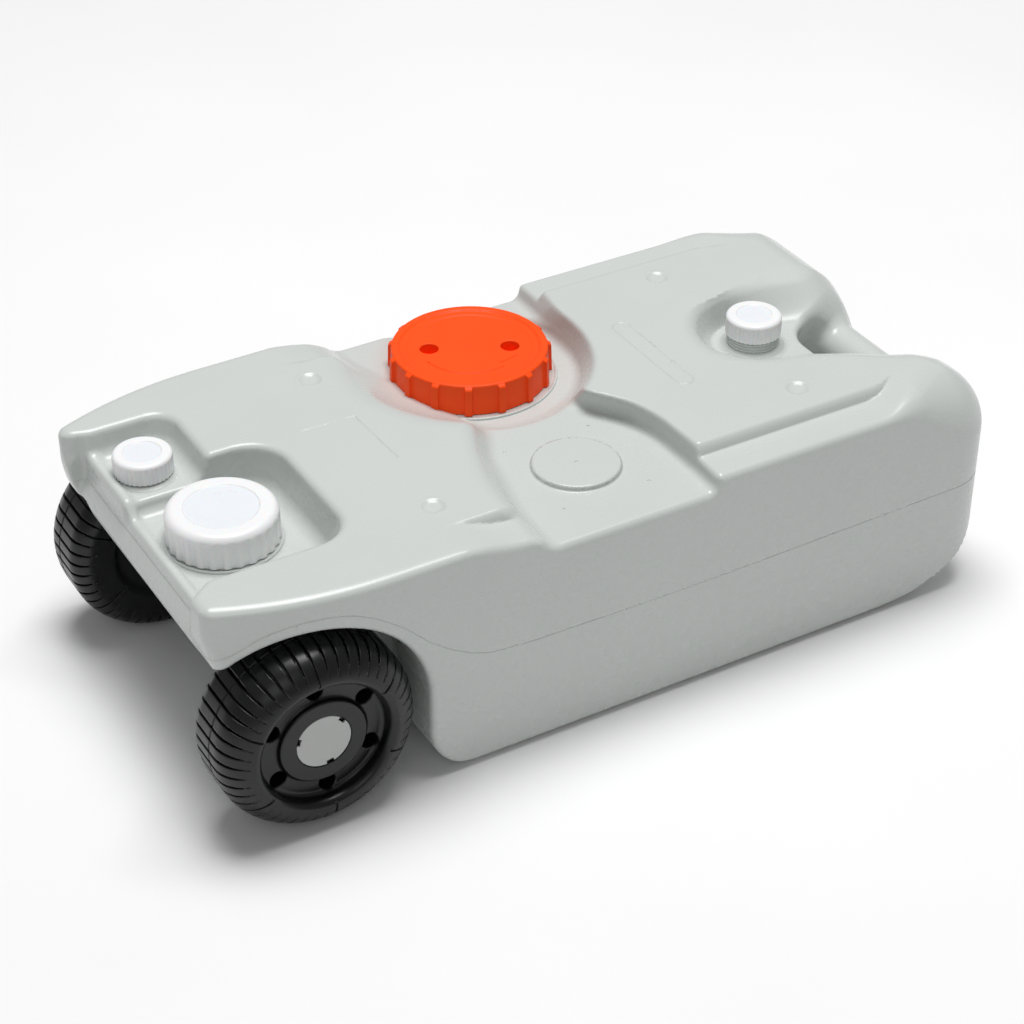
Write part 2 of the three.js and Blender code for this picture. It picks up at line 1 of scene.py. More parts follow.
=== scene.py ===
"""The looks of the portable waste tote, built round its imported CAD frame.

Each shape is a distance function in millimetres, below 0 inside. The function `surface` meshes it,
and `settle` moves the mesh onto the shape. Places and radii come from the frame's boxes.

In the tank's functions left is towards -X, where the wheels and the nose are, right is towards +X, near
is towards -Y and far towards +Y. The left wheel is the one on the +Y side.
"""
import math

import bmesh
import bpy
import numpy as np
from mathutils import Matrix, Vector


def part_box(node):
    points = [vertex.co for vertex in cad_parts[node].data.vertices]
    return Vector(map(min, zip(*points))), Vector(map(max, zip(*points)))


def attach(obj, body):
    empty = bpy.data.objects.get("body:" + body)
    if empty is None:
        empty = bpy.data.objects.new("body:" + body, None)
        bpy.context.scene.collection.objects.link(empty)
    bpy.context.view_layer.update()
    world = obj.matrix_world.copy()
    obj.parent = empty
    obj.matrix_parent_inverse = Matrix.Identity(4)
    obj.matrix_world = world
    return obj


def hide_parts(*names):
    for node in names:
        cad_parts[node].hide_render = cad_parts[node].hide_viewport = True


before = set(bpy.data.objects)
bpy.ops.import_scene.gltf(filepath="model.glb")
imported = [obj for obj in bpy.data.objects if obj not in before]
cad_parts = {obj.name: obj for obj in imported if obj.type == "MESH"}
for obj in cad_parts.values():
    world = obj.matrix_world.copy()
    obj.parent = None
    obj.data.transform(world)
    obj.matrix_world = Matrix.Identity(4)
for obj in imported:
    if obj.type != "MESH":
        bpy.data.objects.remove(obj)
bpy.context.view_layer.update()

MM = 0.001


# ---------------------------------------------------------------- places from the frame
def box_mm(node):
    low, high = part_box(node)
    return np.array(low) / MM, np.array(high) / MM


def round_place(node, axis):
    """Centre, radius and the two ends of a turned node, in millimetres."""
    low, high = box_mm(node)
    across = [i for i in range(3) if i != axis]
    return (low + high) / 2, max((high - low)[across]) / 2, low[axis], high[axis]


TANK_LOW, TANK_HIGH = box_mm("tank_shell")
TOP = TANK_HIGH[2]
HALF_WIDTH = TANK_HIGH[1]
FRONT_X = TANK_LOW[0]
END_X = TANK_HIGH[0]
AXLE, WHEEL_RADIUS, WHEEL_INNER_Y, WHEEL_OUTER_Y = round_place("wheel_left", 1)
AXLE_X, AXLE_Z = AXLE[0], WHEEL_RADIUS
CAPS = {name: round_place(name, 2) for name in ("main_cap", "drain_cap", "vent_cap_front", "vent_cap_rear")}
MAIN_X, MAIN_Y = CAPS["main_cap"][0][:2]
REAR_VENT_X, REAR_VENT_Y = CAPS["vent_cap_rear"][0][:2]

# Heights of the tank's levels that lie below the top deck
LEDGE_Z = TOP - 9.5
WAIST_Z = TOP - 21.5
RECESS_Z = TOP - 29
DRAIN_Z = TOP - 33.5
VENT_Z = TOP - 22.5
BASIN_Z = TOP - 26

# Clear bore and outer radius of each neck
NECKS = {
    "main_cap": (42, 47),
    "drain_cap": (24, 28.5),
    "vent_cap_front": (11, 15),
    "vent_cap_rear": (11, 15),
}

# How far a neck ends below its cap's top
NECK_DROP = 5.8


# ---------------------------------------------------------------- distance functions
# A term such as 0 * x gives a distance that doesn't depend on x the full shape of the grid.
def smooth(a, b, t):
    t = np.clip((t - a) / (b - a), 0, 1)
    return t * t * (3 - 2 * t)


def round_max(a, b, r):
    """The overlap of two regions, with the edge where they meet rounded to radius r."""
    return np.minimum(np.maximum(a, b), -r) + np.hypot(np.maximum(a + r, 0), np.maximum(b + r, 0))


def round_min(a, b, r):
    """Two regions joined, with the crease where they meet filled to radius r."""
    return -round_max(-a, -b, r)


def cut(a, tool, r):
    return round_max(a, -tool, r)


def oval_max(a, b, ra, rb):
    """The overlap of two regions, with an elliptical edge: ra deep across a, rb across b."""
    u = np.maximum(a / ra + 1, 0)
    v = np.maximum(b / rb + 1, 0)
    reach = np.hypot(u, v) + 1e-6
    slope = np.hypot(u / ra, v / rb) / reach + 1e-6
    return np.where((u > 0) & (v > 0), (reach - 1) / slope, np.maximum(a, b))


def curve(points):
    """A smooth line through (position, value) points, as a function of position."""
    at, value = np.array(points, float).T
    slope = np.gradient(value, at)

    def evaluate(t):
        t = np.clip(t, at[0], at[-1])
        i = np.clip(np.searchsorted(at, t) - 1, 0, len(at) - 2)
        h = at[i + 1] - at[i]
        s = (t - at[i]) / h
        first = (1 + 2 * s) * (1 - s) ** 2 * value[i] + s * (1 - s) ** 2 * h * slope[i]
        return first + s * s * (3 - 2 * s) * value[i + 1] + s * s * (s - 1) * h * slope[i + 1]

    return evaluate


def wall_line(t, z, foot, foot_z, head, head_z):
    """Distance past a sloping wall that stands at t = foot at foot_z and t = head at head_z."""
    rise = head_z - foot_z
    run = head - foot
    return ((t - foot) * rise - (z - foot_z) * run) / np.hypot(rise, run)


# ---------------------------------------------------------------- surface of a distance function
SLAB = 8


def surface(field, low, high, cell):
    """Closed quad mesh of field = 0: one point in each grid cell that the surface crosses.
    The field is worked out SLAB layers at a time."""
    axes = [np.arange(a - 2 * cell, b + 2.5 * cell, cell) for a, b in zip(low, high)]
    shape = tuple(len(a) for a in axes)
    values = np.empty(shape, np.float32)
    for i in range(0, shape[0], SLAB):
        x = axes[0][i:i + SLAB, None, None]
        values[i:i + SLAB] = field(x, axes[1][None, :, None], axes[2][None, None, :])
    inside = values < 0
    flat = values.ravel()
    strides = np.array([shape[1] * shape[2], shape[2], 1])
    cells, points, quads = [], [], []
    for axis in range(3):
        ahead = [slice(None)] * 3
        behind = [slice(None)] * 3
        ahead[axis] = slice(1, None)
        behind[axis] = slice(None, -1)
        place = np.argwhere(inside[tuple(behind)] != inside[tuple(ahead)])
        here = place @ strides
        start, end = flat[here], flat[here + strides[axis]]
        point = place.astype(float)
        point[:, axis] += start / (start - end)
        u, v = strides[(axis + 1) % 3], strides[(axis + 2) % 3]
        around = np.stack([here - u - v, here - v, here, here - u], 1)
        around[start >= 0] = around[start >= 0][:, ::-1]
        quads.append(around)
        cells.append(around.ravel())
        points.append(np.repeat(point, 4, 0))
    cells, points, quads = np.concatenate(cells), np.concatenate(points), np.concatenate(quads)
    used, index = np.unique(cells, return_inverse=True)
    count = np.bincount(index)
    mean = np.stack([np.bincount(index, points[:, k]) / count for k in range(3)], 1)
    origin = np.array([a[0] for a in axes])
    return origin + mean * cell, np.searchsorted(used, quads)


def largest_part(points, quads):
    """The biggest of the separate closed surfaces in a mesh."""
    label = np.arange(len(points))
    a, b = quads.ravel(), np.roll(quads, -1, 1).ravel()
    while True:
        lowest = np.minimum(label[a], label[b])
        before = label.copy()
        np.minimum.at(label, label[a], lowest)
        np.minimum.at(label, label[b], lowest)
        label = label[label]
        if (label == before).all():
            break
    names, size = np.unique(label, return_counts=True)
    keep = label == names[size.argmax()]
    renumber = np.cumsum(keep) - 1
    return points[keep], renumber[quads[keep[quads[:, 0]]]]


def gradient(field, p, h):
    parts = []
    for k in range(3):
        step = np.zeros(3)
        step[k] = h
        ahead, behind = p + step, p - step
        parts.append((field(*ahead.T) - field(*behind.T)) / (2 * h))
    return np.stack(parts, 1)


def settle(field, p, reach, rounds=4):
    """Moves points onto field = 0, no further than reach in one round."""
    h = reach * 0.1
    for _ in range(rounds):
        g = gradient(field, p, h)
        square = np.maximum((g * g).sum(1), 0.05)
        move = -(field(*p.T) / square)[:, None] * g
        length = np.linalg.norm(move, axis=1, keepdims=True)
        p = p + move * np.minimum(1, reach / np.maximum(length, 1e-9))
    return p


def mesh_object(name, points, faces, material):
    """A smooth-shaded object from points in millimetres and an array of quads or triangles."""
    mesh = bpy.data.meshes.new(name)
    sides = faces.shape[1]
    mesh.vertices.add(len(points))
    mesh.vertices.foreach_set("co", (np.asarray(points) * MM).astype(np.float32).ravel())
    mesh.loops.add(faces.size)
    mesh.loops.foreach_set("vertex_index", faces.astype(np.int32).ravel())
    mesh.polygons.add(len(faces))
    mesh.polygons.foreach_set("loop_start", np.arange(0, faces.size, sides, dtype=np.int32))
    mesh.polygons.foreach_set("use_smooth", np.ones(len(faces), bool))
    mesh.update(calc_edges=True)
    mesh.validate()
    mesh.materials.append(material)
    piece = bpy.data.objects.new(name, mesh)
    bpy.context.scene.collection.objects.link(piece)
    return piece


def apply_modifiers(piece):
    graph = bpy.context.evaluated_depsgraph_get()
    mesh = bpy.data.meshes.new_from_object(piece.evaluated_get(graph))
    piece.modifiers.clear()
    old = piece.data
    piece.data = mesh
    bpy.data.meshes.remove(old)


def true_normals(piece, field, reach):
    """Puts the points back on the shape and shades them with the shape's own normals."""
    mesh = piece.data
    co = np.empty(len(mesh.vertices) * 3, np.float32)
    mesh.vertices.foreach_get("co", co)
    p = settle(field, co.reshape(-1, 3).astype(float) / MM, reach, 2)
    mesh.vertices.foreach_set("co", (p * MM).astype(np.float32).ravel())
    g = gradient(field, p, reach * 0.25)
    g /= np.maximum(np.linalg.norm(g, axis=1, keepdims=True), 1e-9)
    mesh.polygons.foreach_set("use_smooth", np.ones(len(mesh.polygons), bool))
    mesh.update()
    flat = np.empty(len(mesh.vertices) * 3, np.float32)
    mesh.vertex_normals.foreach_get("vector", flat)
    flat = flat.reshape(-1, 3)
    g = np.where((g * flat).sum(1, keepdims=True) > 0.5, g, flat)
    mesh.normals_split_custom_set_from_vertices(g)


def refine(piece, near, band, cuts):
    """Cuts the faces within band of a fine detail into smaller ones."""
    mesh = piece.data
    centre = np.empty(len(mesh.polygons) * 3, np.float32)
    mesh.polygons.foreach_get("center", centre)
    close = near(*(centre.reshape(-1, 3).astype(float).T / MM)) < band
    form = bmesh.new()
    form.from_mesh(mesh)
    form.faces.ensure_lookup_table()
    edges = {edge for i in np.nonzero(close)[0] for edge in form.faces[i].edges}
    order = sorted(edges, key=lambda edge: edge.index)
    bmesh.ops.subdivide_edges(form, edges=order, cuts=cuts, use_grid_fill=True)
    form.to_mesh(mesh)
    form.free()
    mesh.update()


def shaped(name, field, low, high, cell, material, share, fine=None):
    """An object of the shape where field < 0. share is the part of the faces that is kept,
    and fine is (distance to fine details, band, cuts) where smaller faces are wanted."""
    points, quads = largest_part(*surface(field, low, high, cell))
    points = settle(field, points, cell * 0.6)
    piece = mesh_object(name, points, quads, material)
    if share < 1:
        thin = piece.modifiers.new("thin", "DECIMATE")
        thin.ratio = share
        apply_modifiers(piece)
    if fine:
        refine(piece, *fine)
    true_normals(piece, field, cell * 0.4)
    return piece


# ---------------------------------------------------------------- materials
def new_material(name, colour, roughness, **sockets):
    material = bpy.data.materials.new(name)
    material.use_nodes = True
    nodes = material.node_tree.nodes
    shader = nodes["Principled BSDF"]
    shader.inputs["Base Color"].default_value = (*colour, 1)
    shader.inputs["Roughness"].default_value = roughness
    for socket, value in sockets.items():
        shader.inputs[socket.replace("_", " ")].default_value = value
    return material, material.node_tree, shader


def noise(tree, scale, detail):
    coordinates = tree.nodes.new("ShaderNodeTexCoord")
    texture = tree.nodes.new("ShaderNodeTexNoise")
    texture.inputs["Scale"].default_value = scale
    texture.inputs["Detail"].default_value = detail
    tree.links.new(coordinates.outputs["Object"], texture.inputs["Vector"])
    return texture.outputs["Fac"]


def ramp(tree, source, stops):
    """A colour that runs between two (position, colour) stops."""
    node = tree.nodes.new("ShaderNodeValToRGB")
    tree.links.new(source, node.inputs["Fac"])
    for element, (position, colour) in zip(node.color_ramp.elements, stops):
        element.position = position
        element.color = (*colour, 1)
    return node.outputs["Color"]


def scaled_value(tree, source, low, high):
    """Spreads the middle of a noise over the range from low to high."""
    node = tree.nodes.new("ShaderNodeMapRange")
    node.inputs["From Min"].default_value = 0.3
    node.inputs["From Max"].default_value = 0.7
    node.inputs["To Min"].default_value = low
    node.inputs["To Max"].default_value = high
    tree.links.new(source, node.inputs["Value"])
    return node.outputs["Result"]


def bump(tree, shader, source, distance):
    node = tree.nodes.new("ShaderNodeBump")
    node.inputs["Distance"].default_value = distance
    node.inputs["Strength"].default_value = 1
    tree.links.new(source, node.inputs["Height"])
    tree.links.new(node.outputs["Normal"], shader.inputs["Normal"])


def moulded_plastic(name, colour, roughness, grain, tint=0.04, **sockets):
    """Moulded plastic: faint mottling, uneven gloss and the fine texture of the mould."""
    material, tree, shader = new_material(name, colour, roughness, **sockets)
    mottle = noise(tree, 14, 5)
    darker = tuple(c * (1 - tint) for c in colour)
    lighter = tuple(min(1, c * (1 + tint)) for c in colour)
    colours = ramp(tree, mottle, [(0.35, darker), (0.65, lighter)])
    tree.links.new(colours, shader.inputs["Base Color"])
    gloss = scaled_value(tree, noise(tree, 60, 6), roughness - 0.012, roughness + 0.02)
    tree.links.new(gloss, shader.inputs["Roughness"])
    bump(tree, shader, noise(tree, 1600, 3), grain)
    return material


def turned_metal(name, colour, roughness):
    """Plated steel with fine drawn lines along Y and patches of duller plating."""
    material, tree, shader = new_material(name, colour, roughness, Metallic=1.0)
    coordinates = tree.nodes.new("ShaderNodeTexCoord")
    mapping = tree.nodes.new("ShaderNodeMapping")
    mapping.inputs["Scale"].default_value = (900, 40, 900)
    lines = tree.nodes.new("ShaderNodeTexNoise")
    lines.inputs["Scale"].default_value = 1
    tree.links.new(coordinates.outputs["Object"], mapping.inputs["Vector"])
    tree.links.new(mapping.outputs["Vector"], lines.inputs["Vector"])
    patches = noise(tree, 120, 5)
    colours = ramp(tree, patches, [(0.35, tuple(c * 0.82 for c in colour)), (0.7, colour)])
    tree.links.new(colours, shader.inputs["Base Color"])
    gloss = scaled_value(tree, patches, roughness - 0.06, roughness + 0.14)
    tree.links.new(gloss, shader.inputs["Roughness"])
    bump(tree, shader, lines.outputs["Fac"], 0.00003)
    return material


TANK = moulded_plastic("tank_grey", (0.55, 0.578, 0.56), 0.27, 0.000015, 0.008, Specular_IOR_Level=0.5)
ORANGE = moulded_plastic("cap_orange", (0.98, 0.080, 0.008), 0.4, 0.00003, 0.03, Specular_IOR_Level=0.16)
WHITE = moulded_plastic("cap_white", (0.82, 0.825, 0.83), 0.32, 0.00002, 0.01, Subsurface_Weight=0.15,
                        Subsurface_Scale=0.004)
BLACK = moulded_plastic("wheel_black", (0.0045, 0.0047, 0.0052), 0.3, 0.00003, 0.12, Specular_IOR_Level=0.42)
HUB_GREY = moulded_plastic("hub_grey", (0.48, 0.49, 0.48), 0.4, 0.00003, 0.02)
NYLON = moulded_plastic("bush_nylon", (0.72, 0.70, 0.64), 0.4, 0.00002)
SADDLE = moulded_plastic("saddle_black", (0.016, 0.017, 0.018), 0.5, 0.00005, 0.1)
WHITE_DISC = moulded_plastic("cap_disc", (0.76, 0.785, 0.82), 0.28, 0.00002, 0.01, Subsurface_Weight=0.1,
                             Subsurface_Scale=0.004)
RUBBER = moulded_plastic("seal_rubber", (0.02, 0.021, 0.022), 0.75, 0.00006, 0.15)
STEEL = turned_metal("zinc_steel", (0.62, 0.63, 0.64), 0.34)


# ---------------------------------------------------------------- tank
# The nose narrows by NOSE_NARROWING on each side over its last NOSE_TAPER
NOSE_TAPER = 127
NOSE_NARROWING = 27
NOSE_CURVE = 2.2
NOSE_CORNER = 6
END_CORNER = 38


def plan(x, y):
    """Distance outside the tank's outline as seen from above."""
    side = np.abs(y) - HALF_WIDTH
    ahead = np.clip(1 - (x - FRONT_X) / NOSE_TAPER, 0, 1)
    slope = NOSE_CURVE * NOSE_NARROWING / NOSE_TAPER * ahead ** (NOSE_CURVE - 1)
    taper = (side + NOSE_NARROWING * ahead ** NOSE_CURVE) / np.hypot(1, slope)
    nose = round_max(FRONT_X - x, taper, NOSE_CORNER)
    return np.maximum(nose, round_max(x - END_X, side, END_CORNER))


LEDGE_INNER_Y = 121
LEDGE_WIDENING = 9
LEDGE_SLOPE = 0.5


def ledge(x, y, z):
    """The step down along the deck's long sides, which fades out towards both ends."""
    inner = LEDGE_INNER_Y - LEDGE_WIDENING * smooth(218, 252, x)
    fade = np.maximum(smooth(206, 254, x), smooth(-84, -146, x))
    wall = (inner - np.abs(y) - LEDGE_SLOPE * (z - LEDGE_Z - 5)) / math.hypot(1, LEDGE_SLOPE)
    return round_max(wall, LEDGE_Z + (TOP - LEDGE_Z + 1) * fade - z, 0.8)


# Across the waist: for each Y, where its two walls stand at the floor and at the deck
WAIST_RIGHT_FOOT = curve([(-152, 62), (-100, 64), (-67, 63), (-42, 57), (-21, 44), (-4, 36), (15, 40),
                          (45, 58), (90, 72), (120, 76), (152, 77)])
WAIST_RIGHT_HEAD = curve([(-152, 66), (-98, 65), (-68, 62), (-48, 55), (-34, 46), (-19, 36), (0, 38),
                          (20, 48), (45, 63), (90, 78), (112, 82), (152, 82)])
WAIST_LEFT_FOOT = curve([(-152, -69), (-100, -66), (-66, -58), (-34, -50), (-14, -40), (10, -36),
                         (60, -50), (100, -70), (130, -80), (152, -82)])
WAIST_LEFT_HEAD = curve([(-152, -85), (-92, -82), (-66, -78), (-43, -70), (-18, -60), (10, -56),
                         (60, -75), (100, -94), (130, -101), (152, -103)])


def waist(x, y, z):
    """The sunk band across the middle of the deck."""
    right = wall_line(x, z, WAIST_RIGHT_FOOT(y), WAIST_Z, WAIST_RIGHT_HEAD(y), TOP)
    left = wall_line(-x, z, -WAIST_LEFT_FOOT(y), WAIST_Z, -WAIST_LEFT_HEAD(y), TOP)
    return round_max(np.maximum(right, left), WAIST_Z - z, 5)


# Round the filler: for each angle in degrees, the wall's radius at the floor and at the deck
RECESS_FOOT = curve([(-180, 62), (-140, 68), (-110, 80), (-80, 83), (-50, 82), (-10, 80), (40, 80),
                     (90, 76), (140, 66), (180, 62)])
RECESS_HEAD = curve([(-180, 103), (-150, 106), (-123, 108), (-95, 107), (-70, 106), (-51, 98), (-30, 89),
                     (-10, 83), (40, 83), (90, 90), (135, 100), (180, 103)])


def recess(x, y, z):
    """The round recess that the filler stands in."""
    dx, dy = x - MAIN_X, y - MAIN_Y
    angle = np.degrees(np.arctan2(dy, dx))
    wall = wall_line(np.hypot(dx, dy), z, RECESS_FOOT(angle), RECESS_Z, RECESS_HEAD(angle), TOP)
    soft = 6 + 14 * smooth(-10, -60, dx)
    return round_max(wall, RECESS_Z - z, soft)


# Where the walls of the two pockets in the nose stand at the floor, and where they widen to the front
DRAIN_RIGHT_X, DRAIN_NEAR_Y, DRAIN_FAR_Y = -194, -85, 39
VENT_RIGHT_X, VENT_NEAR_Y, VENT_FAR_Y = -240, 30, 103
FLARE_START_X, FLARE_END_X = -290, -309


def drain_pocket(x, y, z):
    rise = np.clip((z - DRAIN_Z) / (TOP - DRAIN_Z), 0, 1)
    right = x - DRAIN_RIGHT_X - 8 * rise
    near = DRAIN_NEAR_Y - y - 8 * rise - 10 * smooth(FLARE_START_X, FLARE_END_X, x)
    side = round_max(round_max(right, near, 26), y - DRAIN_FAR_Y, 30)
    return round_max(side, DRAIN_Z - z, 9)


def vent_pocket(x, y, z):
    rise = np.clip((z - VENT_Z) / (TOP - VENT_Z), 0, 1)
    right = x - VENT_RIGHT_X - 7 * rise
    far = y - VENT_FAR_Y - 5 * rise - 4 * smooth(FLARE_START_X, FLARE_END_X, x)
    side = np.maximum(round_max(right, far, 18), VENT_NEAR_Y - y)
    return round_max(side, VENT_Z - z, 8)


# Basin round the rear vent: for each X, how far its rim reaches in Y
BASIN_FAR_RIM = curve([(136, -2), (140, 18), (156, 35), (197, 48), (225, 56), (260, 60), (330, 62)])
BASIN_NEAR_RIM = curve([(136, -4), (143, -27), (159, -46), (210, -68), (237, -84), (257, -99), (330, -112)])
# Its flat floor, and the oval that closes it towards the waist
PAD_RADIUS = 30
PAD_LENGTH, PAD_SHIFT = 100, 36
BOWL_X, BOWL_Y, BOWL_HALF_LENGTH, BOWL_HALF_WIDTH = 214, -7, 78, 61


def basin_height(x, y):
    """Height of the basin, which climbs from its flat floor to its rim and on past it."""
    along = np.clip((x - REAR_VENT_X) / PAD_LENGTH, 0, 1)
    middle = REAR_VENT_Y - PAD_SHIFT * along
    reach = PAD_RADIUS + np.where(y > middle, -14, 16) * along
    floor = np.hypot(np.minimum(x - REAR_VENT_X, 0), y - middle) - reach
    rim = np.maximum(y - BASIN_FAR_RIM(x), BASIN_NEAR_RIM(x) - y)
    bowl = np.hypot((x - BOWL_X) / BOWL_HALF_LENGTH, (y - BOWL_Y) / BOWL_HALF_WIDTH) * BOWL_HALF_WIDTH
    rim = np.maximum(rim, bowl - BOWL_HALF_WIDTH - 300 * smooth(BOWL_X - 14, BOWL_X, x))
    outward = np.maximum(floor, 0)
    inward = np.maximum(-rim, 0)
    climb = smooth(0, 1, outward / (outward + inward + 1e-3))
    return BASIN_Z + (TOP + 2 - BASIN_Z) * climb


def basin(x, y, z):
    height = basin_height(x, y)
    slope = np.hypot(basin_height(x + 1, y) - height, basin_height(x, y + 1) - height)
    return (height - z) / np.hypot(1, np.minimum(slope, 3))


# The rounded ridge along the open front of the pockets
LIP_X, LIP_RADIUS = -293.5, 3.2
LIP_NEAR_Y, LIP_FAR_Y = -96, 106


def deck(x, y, z):
    """Distance above the tank's top, with every step, groove and pocket in it."""
    level = cut(z - TOP + 0 * x + 0 * y, ledge(x, y, z), 2.2)
    middle = round_min(waist(x, y, z), recess(x, y, z), 4)
    level = cut(level, middle, 3.5 + 5 * smooth(10, -60, x))
    level = cut(level, round_min(drain_pocket(x, y, z), vent_pocket(x, y, z), 4), 5)
    ridge = np.hypot(x - LIP_X, z - DRAIN_Z - (VENT_Z - DRAIN_Z) * smooth(28, 44, y)) - LIP_RADIUS
    ridge = np.maximum(ridge, np.maximum(LIP_NEAR_Y - y, y - LIP_FAR_Y))
    return cut(round_min(level, ridge, 5), basin(x, y, z), 8)


KEEL_Z = 60
HEEL_TOP_X, HEEL_FOOT_X = -214, -182
NOSE_SET_BACK, NOSE_FOOT_Z = 6, 130.6
NOSE_RUN, NOSE_FALL = 23.5, 38.6


def keel_cut(x, z):
    """Under the wheel end: flat over the axle, sloping up to the nose and down to the base."""
    heel = wall_line(x, z, HEEL_TOP_X, KEEL_Z, HEEL_FOOT_X, 0)
    flat = round_max(z - KEEL_Z + 0 * x, -heel, 8)
    nose = (x - FRONT_X - NOSE_SET_BACK) * NOSE_FALL + (z - NOSE_FOOT_Z) * NOSE_RUN
    return round_min(flat, nose / math.hypot(NOSE_FALL, NOSE_RUN), 8)


WELL_RADIUS = 82
WELL_RAISE = 1
WELL_ROOF = 45.8
KEEL_HALF_WIDTH = 91


def well(x, y, z):
    """Room for a wheel: an arch round it, open below and to the front."""
    height = z - AXLE_Z - WELL_RAISE
    arch = np.hypot(x - AXLE_X, np.maximum(height, 0)) - WELL_RADIUS
    arch = np.where(x < AXLE_X, np.hypot(x - AXLE_X, height) - WELL_RADIUS, arch)
    ahead = np.maximum(x - AXLE_X, height - WELL_ROOF)
    region = round_min(np.minimum(arch, ahead), z + 0 * x, 42)
    return round_max(region, KEEL_HALF_WIDTH - np.abs(y), 9)


HOLE_X = 236
HOLE_LOW_Y = -74
HOLE_HIGH_Y = 18
HOLE_CORNER = 32


def notch(x, y, z):
    """The gap between the two lobes at the handle end, which the grip crosses."""
    side = np.maximum(HOLE_LOW_Y - y, y - HOLE_HIGH_Y)
    return round_max(HOLE_X - x, side, HOLE_CORNER) + 0 * z


GRIP_X, GRIP_Z, GRIP_RADIUS = 291.5, 125, 17.5
GRIP_ROOT = 22


def grip_bar(x, y, z):
    """The bar to carry the tote by, whose ends are rooted in the two lobes."""
    bar = np.hypot(x - GRIP_X, z - GRIP_Z) - GRIP_RADIUS
    return np.maximum(bar, np.maximum(HOLE_LOW_Y - GRIP_ROOT - y, y - HOLE_HIGH_Y - GRIP_ROOT))


SLOT_FLOOR_Z = 40
SLOT_HALF, SLOT_REACH = 6.5, 120
BOSS_HALF, BOSS_REACH, BOSS_LOW_Z = 10.3, 96.5, 61


def axle_slot(x, y, z, half, reach):
    """A slot of half-width half round the axle, open below and reach long to each side."""
    across = np.where(z < AXLE_Z, np.abs(x - AXLE_X), np.hypot(x - AXLE_X, z - AXLE_Z)) - half
    return np.maximum(np.maximum(across, np.abs(y) - reach), SLOT_FLOOR_Z - z)


FACE_X, FACE_NEAR_Y, FACE_FAR_Y = -298, -95, 108
FACE_TOP_Z, FACE_FOLD_Z, FACE_FOOT_Z = 152, 130, 112
FACE_UPPER_LEAN, FACE_LOWER_LEAN = 7, 6


def front_face(x, y, z):
    """Between its two horns the nose is set back and leans forward towards the bottom."""
    upper = FACE_UPPER_LEAN * smooth(FACE_TOP_Z, FACE_FOLD_Z, z)
    face = FACE_X - upper - FACE_LOWER_LEAN * smooth(FACE_FOLD_Z, FACE_FOOT_Z, z)
    side = np.maximum(FACE_NEAR_Y - y, y - FACE_FAR_Y)
    return round_max(x - face, side, 4)


# How far the rounding of the top edge reaches in and down, and how much further at each end
EDGE = 6
HANDLE_RUN, HANDLE_DROP = 56, 48
WHEEL_RUN, WHEEL_DROP = 3, 2
# The rounding of the bottom edge, and how the handle end curves up from the ground
BASE_EDGE, HANDLE_BASE_EDGE = 10, 8
FOOT_RUN, FOOT_RISE = 120, 80


def tank_form(x, y, z):
    """The tank's outer shape, without its finest details."""
    outline = plan(x, y)
    handle_end = smooth(206, 298, x)
    wheel_end = smooth(-50, -190, x)
    run = EDGE + HANDLE_RUN * handle_end + WHEEL_RUN * wheel_end
    drop = EDGE + HANDLE_DROP * handle_end + WHEEL_DROP * wheel_end
    form = oval_max(outline + 0 * z, deck(x, y, z), run, drop)
    form = np.maximum(form, round_max(outline, -z + 0 * x, BASE_EDGE + HANDLE_BASE_EDGE * handle_end))
    form = np.maximum(form, oval_max(x - END_X, -z + 0 * x, FOOT_RUN, FOOT_RISE) + 0 * y)
    form = cut(form, keel_cut(x, z) + 0 * y, 11)
    form = cut(form, well(x, y, z), 4.5)
    form = cut(form, front_face(x, y, z), 3)
    form = cut(form, notch(x, y, z), 4.5 + 16 * smooth(262, 300, x))
    form = round_min(form, grip_bar(x, y, z), 9)
    boss = np.maximum(axle_slot(x, y, z, BOSS_HALF, BOSS_REACH), BOSS_LOW_Z - z)
    form = round_min(form, boss, 2)
    return cut(form, axle_slot(x, y, z, SLOT_HALF, SLOT_REACH), 1)


def segment(x, y, start, end):
    """Distance from a straight line between two points, as seen from above."""
    ax, ay = start
    bx, by = end[0] - ax, end[1] - ay
    t = np.clip(((x - ax) * bx + (y - ay) * by) / (bx * bx + by * by), 0, 1)
    return np.hypot(x - ax - t * bx, y - ay - t * by)


# The small details of the deck, and the height of the parting line along the tank
DISC_X, DISC_Y, DISC_RADIUS, DISC_HEIGHT = -4.5, -74.5, 32, 4
DISC_VENTS = [(-4.5, -74.5), (30, -34), (-39, -34), (30, -115), (-39, -115)]
DIMPLES = [(x, y) for x in (-128, 170) for y in (-93, 93)]
DIMPLE_RADIUS = 9.3
FRAME_CORNERS = [(-165, 34), (-123, 33), (-121, -29)]
PILL_X, PILL_HALF_LENGTH, PILL_RADIUS = 106, 42, 7
SEAM_HEIGHT = curve([(-330, 144), (-300, 146), (-275, 160), (-245, 166), (-212, 160), (-185, 142),
                     (-160, 118), (-128, 98), (-90, 92), (-54, 91), (330, 94)])


def deck_lines(x, y):
    """Distance to the fine grooves in the deck: a plain label frame and a plain pill outline."""
    lines = [segment(x, y, a, b) for a, b in zip(FRAME_CORNERS, FRAME_CORNERS[1:])]
    pill = segment(x, y, (PILL_X, -PILL_HALF_LENGTH), (PILL_X, PILL_HALF_LENGTH)) - PILL_RADIUS
    return np.minimum.reduce([*lines, np.abs(pill)])


def vent_dots(x, y):
    """Distance to the pin holes in and round the raised disc."""
    return np.minimum.reduce([np.hypot(x - a, y - b) for a, b in DISC_VENTS])


